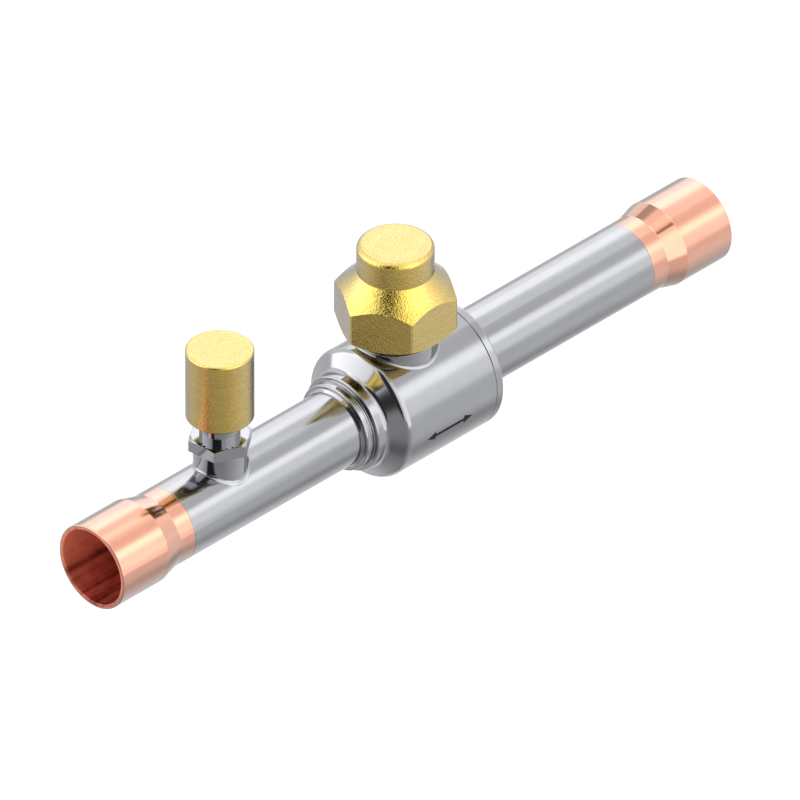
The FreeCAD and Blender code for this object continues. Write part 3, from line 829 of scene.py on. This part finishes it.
def seal_cap():
    """Hexagon cap: flats that rise from a turned foot to the curve where the hollow cone cuts
    them, the cone, the round button, and inside the stepped bore with its thread. The cone is a
    straight line bent inward by a parabola. The poles close its two middles."""
    half_corner = math.acos(cap_flats / 2 / cap_corner_r) - math.pi / 6
    corners = np.arange(6)[:, None] * math.pi / 3 + np.array([-half_corner, half_corner])
    turns = np.unique(np.concatenate([angles(cap_columns), corners.ravel() % (2 * math.pi)]))
    flat_r = np.minimum(hexagon_radius(turns, cap_flats), cap_corner_r)
    foot_r = cap_flats / 2
    foot = cap_low[2] + cap_foot_rise * (flat_r - foot_r) / (cap_corner_r - foot_r)
    rise, fall = cap_cone_top - cap_corner_top, cap_corner_r - cap_button_r
    slope = math.hypot(rise, fall)

    def cone_at(t):
        sink = 4 * t * (1 - t) * cap_cone_hollow / slope
        return cap_corner_r - fall * t - rise * sink, cap_corner_top + rise * t - fall * sink

    cone_rows, fine = 12, np.linspace(0, 1, 400)
    meets = np.interp(-flat_r, -cone_at(fine)[0], fine)
    climb = meets + (1 - meets) * np.linspace(0, 1, cone_rows + 2)[1:-1, None]
    cone = np.stack(cone_at(climb), -1)
    crease = cone_at(meets)[1]
    roof = cap_high[2] - cap_roof
    crest_r = stem_thread_r + thread_gap
    thread = thread_rows(cap_low[2] + female_depth, gasket_top - edge_round, crest_r,
                         female_depth, stem_thread_pitch, turns, outward=-1.0)[::-1]
    rows = section([
        (0, roof),
        (cap_inner_r, roof, edge_round),
        (cap_inner_r, gasket_top),
        (crest_r, gasket_top),
        thread,
        (crest_r + female_depth, cap_low[2]),
        (foot_r - overlap, cap_low[2]),
        (flat_r, foot),
        (flat_r, crease, cap_crease_round),
        cone,
        (cap_button_r, cap_cone_top),
        (cap_button_r, cap_high[2], cap_top_round),
        (0, cap_high[2]),
    ], len(turns), steps=8)
    skin("seal_cap", round_upright(rows, turns, stem_x), seal_brass, "seal_cap_body",
         ["seal_cap"], ring=False, sharp=24)


# Access port and cap

def access_port():
    """Port on the inlet tube: weld fillet, foot, hexagon with its corners chamfered outside the
    circle that touches the flats, neck, thread and nose."""
    turns = angles(neck_columns, port_hex_turn)
    flat_r = hexagon_radius(turns, port_hex_flats, port_hex_turn)
    corner_r = port_hex_flats / math.sqrt(3)
    flat_middle = port_hex_flats / 2
    bevel = port_hex_chamfer * (flat_r - flat_middle) / (corner_r - flat_middle)
    thread = thread_rows(port_thread_start + port_thread_r - port_relief_r,
                         port_thread_end - port_thread_r + port_nose_r, port_thread_r,
                         port_thread_depth, port_thread_pitch, turns)
    rows = section([
        (port_passage_r, saddle(port_passage_r, tube_ir, turns)),
        (port_spigot_r, saddle(port_spigot_r, tube_ir, turns)),
        (port_spigot_r, saddle(port_spigot_r, tube_r, turns)),
        weld_rows(port_base_r, port_weld, tube_r, turns),
        (port_base_r, port_hex_bottom),
        (flat_r, port_hex_bottom, port_hex_round),
        (flat_r, port_hex_top - bevel),
        (flat_middle - overlap, port_hex_top),
        (port_relief_r, port_hex_top),
        (port_relief_r, port_thread_start),
        thread,
        (port_nose_r, port_thread_end),
        (port_nose_r, port_nose_start),
        (port_tip_r, port_top, port_tip_round),
        (port_bore_r, port_top, port_bore_round),
        (port_bore_r, core_seal_high[2]),
        (port_passage_r, core_seal_low[2]),
    ], len(turns))
    skin("access_port", round_upright(rows, turns, port_x), port_plate,
         "valve_line", ["access_port"], sharp=18)


def access_cap():
    """Plain round cap, threaded inside, with a small chamfer below and a rounded top edge."""
    turns = angles(tube_columns)
    outer_r = access_high[0] - port_x
    crest_r = port_thread_r + thread_gap
    bottom, top = access_low[2], access_high[2]
    thread = thread_rows(bottom + access_thread_start, port_seal_top - access_thread_end, crest_r,
                         female_depth, port_thread_pitch, turns, outward=-1.0)[::-1]
    rows = section([
        (0, port_seal_top),
        (crest_r, port_seal_top),
        thread,
        (crest_r, bottom + access_chamfer),
        (crest_r + access_chamfer, bottom),
        (outer_r - access_chamfer, bottom),
        (outer_r, bottom + access_chamfer, access_foot_round),
        (outer_r, top, access_top_round),
        (0, top),
    ], len(turns), steps=8)
    skin("access_cap", round_upright(rows, turns, port_x), port_brass,
         "access_cap_body", ["access_cap"], ring=False)


def valve_core_spring():
    """Coil spring: a circle of the wire's radius carried along a helix, its ends closed by a
    pole."""
    coil_r = spring_high[1] - spring_wire_r
    full = spring_high[2] - spring_low[2]
    base, length = spring_low[2] + spring_wire_r, full - 2 * spring_wire_r
    share = np.linspace(0, 1, spring_turns * spring_rows_per_turn + 1)[:, None]
    turn = 2 * math.pi * spring_turns * share
    slope = length / (2 * math.pi * spring_turns * coil_r)
    outward = np.stack([np.cos(turn), np.sin(turn), 0 * turn], -1)
    forward = unit(np.stack([-np.sin(turn), np.cos(turn), 0 * turn + slope], -1))
    sideways = np.cross(forward, outward)
    axis = np.concatenate([0 * turn + port_x, 0 * turn, base + length * share], -1)[:, None]
    middle = coil_r * outward + axis
    around = angles(spring_columns)[None, :, None]
    wire = middle + spring_wire_r * (np.cos(around) * outward + np.sin(around) * sideways)
    first, last = (np.repeat(middle[k:k + 1], spring_columns, axis=1) for k in (0, -1))
    points = np.concatenate([first, wire, last])
    spring = skin("valve_core_spring", points, stem_steel, "valve_line",
                  ["valve_core_spring"], ring=False, sharp=50)
    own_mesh(spring)


copper_socket("outlet_copper_socket", 1)
copper_socket("inlet_copper_socket", -1)
steel_tube("outlet_tube", 1)
steel_tube("inlet_tube", -1)
inlet_end_piece()
outlet_end_piece()
valve_barrel()
flow_arrow()
stem_neck()
seal_cap()
access_port()
access_cap()
valve_core_spring()

inner_finishes = {
    "ball": ball_plate,
    "stem": stem_steel,
    "stem_stop_pin": stem_steel,
    "inlet_seat": seat_polymer,
    "outlet_seat": seat_polymer,
    "stem_thrust_washer": seat_polymer,
    "seal_cap_gasket": seat_polymer,
    "access_cap_seal": ring_rubber,
    "inlet_seat_ring": ring_rubber,
    "outlet_seat_ring": ring_rubber,
    "lower_stem_ring": ring_rubber,
    "upper_stem_ring": ring_rubber,
    "valve_core_seal": ring_rubber,
    "valve_core_pin_seal": ring_rubber,
    "valve_core_body": core_brass,
    "valve_core_pin": core_brass,
}
for node, finish in inner_finishes.items():
    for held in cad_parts[node].material_slots:
        held.material = finish


# Studio

scene = bpy.context.scene
scene.view_settings.view_transform = "Standard"

view_azimuth, view_elevation = math.radians(-45), math.radians(35)
toward_camera = np.array([
    math.sin(view_azimuth) * math.cos(view_elevation),
    -math.cos(view_azimuth) * math.cos(view_elevation),
    math.sin(view_elevation),
])
picture_right = np.array([math.cos(view_azimuth), math.sin(view_azimuth), 0])
picture_up = np.cross(toward_camera, picture_right)
picture_width = 158.4
sensor = 36.0
lens = 1600.0
aim_right, aim_down = 0.89, 1.35


def make_camera():
    """Long lens far away, so that the view is nearly parallel, aimed beside the ball's centre."""
    data = bpy.data.cameras.new("camera")
    data.lens = lens
    data.sensor_width = sensor
    distance = picture_width * lens / sensor
    aim = np.array([stem_x, 0, 0]) + aim_right * picture_right - aim_down * picture_up
    camera = bpy.data.objects.new("camera", data)
    camera.location = (aim + distance * toward_camera) * mm
    data.clip_end = 3 * distance * mm
    camera.rotation_euler = (math.pi / 2 - view_elevation, 0, view_azimuth)
    scene.collection.objects.link(camera)
    scene.camera = camera


def background_light(tree):
    """1 for the rays that show the background: straight, mirrored or through glass."""
    path = add(tree, "ShaderNodeLightPath").outputs
    seen = math_node(tree, "MAXIMUM", path["Is Camera Ray"], path["Is Glossy Ray"])
    return math_node(tree, "MAXIMUM", seen, path["Is Transmission Ray"])


def make_world():
    """White where it is seen or mirrored, and a soft fill on the valve."""
    world = bpy.data.worlds.new("studio")
    world.use_nodes = True
    tree = world.node_tree
    shown = background_light(tree)
    soft_fill = 0.55
    strength = math_node(tree, "MULTIPLY_ADD", shown, 1 - soft_fill, soft_fill)
    tree.nodes["Background"].inputs[0].default_value = (1, 1, 1, 1)
    tree.links.new(strength, tree.nodes["Background"].inputs[1])
    scene.world = world


def make_floor():
    """Wide pale floor well below the valve, lifted to white where it is seen."""
    drop, half, pale, lift_to_white = -0.25, 6.0, 0.9, 0.35
    mesh = bpy.data.meshes.new("floor")
    corners = [(-half, -half, drop), (half, -half, drop), (half, half, drop), (-half, half, drop)]
    mesh.from_pydata(corners, [], [(0, 1, 2, 3)])
    material, tree, shader = start_material("floor_paper")[:3]
    shader.inputs["Base Color"].default_value = (pale, pale, pale, 1)
    shader.inputs["Roughness"].default_value = 0.9
    shader.inputs["Emission Color"].default_value = (1, 1, 1, 1)
    lift = math_node(tree, "MULTIPLY", background_light(tree), lift_to_white)
    tree.links.new(lift, shader.inputs["Emission Strength"])
    mesh.materials.append(material)
    floor = bpy.data.objects.new("floor", mesh)
    scene.collection.objects.link(floor)


# Softboxes, gaps and dark sides of the tent: azimuth, elevation, half width, half height and
# soft edge in degrees, then the level and its loss per degree of azimuth
tent_panels = [
    (0, 82, 180, 20, 5, 0.85, 0),
    (-10, 67, 26, 9, 4, 1.6, 0),
    (100, 58, 28, 15, 5, 1.6, 0),
    (-71, 68, 9, 7, 2.5, 0.1, 0),
    (-4, 10, 28, 12, 6, 0.85, 0),
    (45, -9, 14, 6, 5, 0.76, 0),
    (44, 24, 20, 19, 5, 1.5, 0),
    (36, 35, 20, 10, 5, 1.75, 0),
    (5, 24, 6, 9, 4, 0.25, 0),
    (68, 46, 9, 14, 5, 0.4, 0),
    (140.5, 21, 27.5, 24, 2, 1.62, 0.017),
    (-55, 12, 12, 8, 8, 1.1, 0),
    (-80, 19, 22, 31, 4, 1.4, 0),
    (-56, 30, 16, 8, 8, 1.62, 0),
    (-30, 48, 20, 8.5, 5, 0.74, 0),
    (-153, 35, 26, 40, 6, 0.04, 0),
]
# Darker patches of the ground sheet: azimuth, elevation, half width, half height, loss
sheet_patches = [
    (-26, -49, 42, 11, 0.48),
    (-163, -44, 45, 11, 0.5),
]
tent_gain, tent_darkest = 1.2, 0.01
horizon, horizon_soft = -3, 6
sheet_level, sheet_swing, sheet_bright_side = 0.66, 0.32, 30


def tent_light(directions):
    """Brightness of the studio's fabric tent in each direction.

    A dome of level 1 meets a greyer ground sheet, whose level follows a cosine of the azimuth
    and sinks in bell-shaped patches. Each panel then covers its share, an S-curve of the depth
    inside its edge."""
    azimuth = np.degrees(np.arctan2(directions[..., 1], directions[..., 0]))
    rise = np.degrees(np.arcsin(np.clip(directions[..., 2], -1, 1)))

    def inside(depth, edge):
        return 1 / (1 + np.exp(-np.clip(depth / edge * 4, -50, 50)))

    def turn_from(middle):
        return (azimuth - middle + 180) % 360 - 180

    sheet = sheet_level + sheet_swing * np.cos(np.radians(azimuth - sheet_bright_side))
    for middle, height, half_width, half_height, loss in sheet_patches:
        away = (turn_from(middle) / half_width) ** 2 + ((rise - height) / half_height) ** 2
        sheet = sheet * (1 - loss * np.exp(-away))
    below = inside(horizon - rise, horizon_soft)
    light = 1 - below + sheet * below
    for middle, height, half_width, half_height, edge, level, loss in tent_panels:
        turn = turn_from(middle)
        depth = np.minimum(half_width - np.abs(turn), half_height - np.abs(rise - height))
        mask = inside(depth, edge)
        light = light * (1 - mask) + (level - loss * turn) * mask
    return np.maximum(tent_gain * light, tent_darkest)


def make_tent():
    """Studio tent that only mirrors: a dome of directions, its reach cut flat at the ground."""
    reach, ground = 1.6, 0.2
    rows, columns = 181, 360
    turns = angles(columns)
    rises = np.radians(np.linspace(-90, 90, rows))[:, None]
    directions = np.stack([np.cos(rises) * np.cos(turns), np.cos(rises) * np.sin(turns),
                           np.sin(rises) + 0 * turns], -1)
    down = np.maximum(-directions[..., 2:], 1e-6)
    distance = np.minimum(reach, ground / down)
    points = directions * distance + np.array([stem_x * mm, 0, 0])
    mesh = bpy.data.meshes.new("studio_tent")
    faces = grid_faces(rows, columns, False)
    mesh.from_pydata(points.reshape(-1, 3).tolist(), [], faces.tolist())
    glow = mesh.attributes.new("glow", "FLOAT", "POINT")
    glow.data.foreach_set("value", tent_light(directions).reshape(-1).astype(np.float32))
    material = bpy.data.materials.new("tent_fabric")
    material.use_nodes = True
    tree = material.node_tree
    tree.nodes.clear()
    strength = add(tree, "ShaderNodeAttribute", (), attribute_name="glow").outputs["Fac"]
    emission = add(tree, "ShaderNodeEmission", {"Color": (1, 1, 1, 1), "Strength": strength})
    add(tree, "ShaderNodeOutputMaterial", {"Surface": emission.outputs[0]})
    material.cycles.emission_sampling = "NONE"
    mesh.materials.append(material)
    tent = bpy.data.objects.new("studio_tent", mesh)
    for kind in ("camera", "diffuse", "transmission", "shadow", "volume_scatter"):
        setattr(tent, "visible_" + kind, False)
    scene.collection.objects.link(tent)


def make_lamp(name, azimuth, elevation, size, power):
    """Soft area lamp in a direction from the valve, in degrees, with its side in metres and its
    power in watts."""
    data = bpy.data.lights.new(name, "AREA")
    data.size = size
    data.energy = power
    lamp = bpy.data.objects.new(name, data)
    a, e = math.radians(azimuth), math.radians(elevation)
    distance = 1.5
    lamp.location = (stem_x * mm + distance * math.cos(e) * math.cos(a),
                     distance * math.cos(e) * math.sin(a), distance * math.sin(e))
    lamp.rotation_euler = (0, math.pi / 2 - e, a)
    lamp.visible_camera = False
    lamp.visible_glossy = False
    scene.collection.objects.link(lamp)


make_camera()
make_world()
make_floor()
make_tent()
make_lamp("key_lamp", -62, 55, 1.2, 6.0)
make_lamp("back_lamp", 42, 45, 1.0, 4.0)
make_lamp("side_lamp", 143, 45, 1.0, 4.0)
